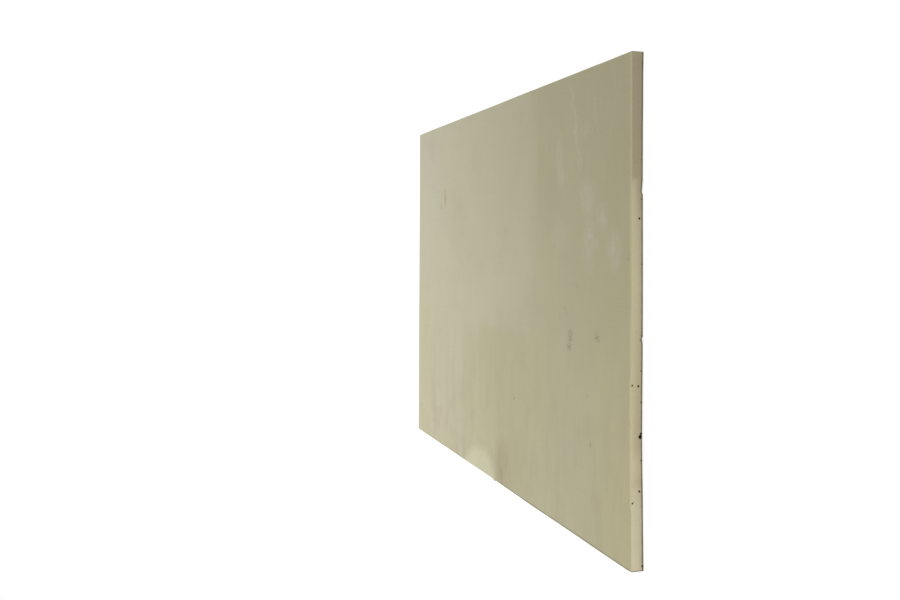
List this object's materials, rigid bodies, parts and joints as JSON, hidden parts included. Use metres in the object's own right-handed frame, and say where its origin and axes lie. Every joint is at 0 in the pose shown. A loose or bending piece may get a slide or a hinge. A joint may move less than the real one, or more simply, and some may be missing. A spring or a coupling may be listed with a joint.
{
  "type": "faux stone wall panel",
  "caption": "Moulded rigid foam wall panel with shallow cut stones on one face and a flat back, laid stone face down.",
  "frame": {"origin": "middle of the panel's footprint on the floor, the panel lying stone face down", "axes": "+X along the width, +Y along the height the panel has on a wall, +Z out of the flat back"},
  "size_m": [1.194, 0.813, 0.022],
  "materials": {
    "moulded_foam": "matt khaki mould skin with paint overspray on the edges; the hidden stone face is painted taupe and grey"
  },
  "bodies": {
    "root": {"stone_panel": "moulded_foam"}
  },
  "joints": []
}
